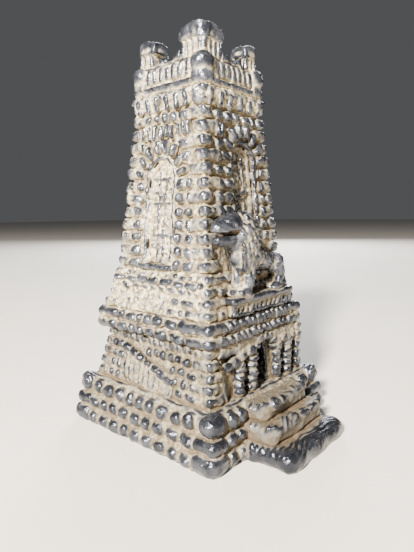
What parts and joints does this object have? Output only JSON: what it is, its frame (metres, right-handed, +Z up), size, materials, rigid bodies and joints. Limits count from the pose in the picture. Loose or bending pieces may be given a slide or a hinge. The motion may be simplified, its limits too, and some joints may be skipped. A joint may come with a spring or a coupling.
{
  "type": "souvenir figurine",
  "caption": "Cast-metal souvenir of a square rusticated stone tower with battlements, on a block plinth with front steps, a porch and a standing lion on a balcony.",
  "frame": {"origin": "on the tower's axis, at the plane of the plinth's underside", "axes": "+Z up along the tower, -Y out of the front face with the steps and the lion, +X to the right of someone facing it"},
  "size_m": [0.0412, 0.0502, 0.08],
  "materials": {
    "cast_metal": "dull lead-grey cast white metal, worn shiny and blue-grey on high points, cream dirt in the joints",
    "recess_metal": "the same cast white metal under a film of cream and ochre dirt"
  },
  "bodies": {
    "root": {"balustrade": "cast_metal", "belt_knobs": "cast_metal", "corbel_ring": "cast_metal", "gallery_lower_course": "cast_metal", "gallery_slab": "cast_metal", "gallery_upper_course": "cast_metal", "lion": "cast_metal", "lion_slab": "cast_metal", "lower_storey": "cast_metal", "merlon_back_left": "cast_metal", "merlon_back_right": "cast_metal", "merlon_front_left": "cast_metal", "merlon_front_right": "cast_metal", "niche_arch_back": "cast_metal", "niche_arch_front": "cast_metal", "niche_arch_left": "cast_metal", "niche_arch_right": "cast_metal", "niche_panel_back": "recess_metal", "niche_panel_front": "recess_metal", "niche_panel_left": "recess_metal", "niche_panel_right": "recess_metal", "niche_sills": "cast_metal", "parapet_belt": "cast_metal", "parapet_wall": "cast_metal", "plinth": "cast_metal", "porch_arcade": "cast_metal", "porch_columns": "cast_metal", "roof_deck": "cast_metal", "shaft": "cast_metal", "side_panel_back": "cast_metal", "side_panel_left": "cast_metal", "side_panel_right": "cast_metal", "skirt": "cast_metal", "step_bottom": "cast_metal", "step_landing": "cast_metal", "step_middle": "cast_metal", "string_course": "cast_metal"}
  },
  "joints": []
}
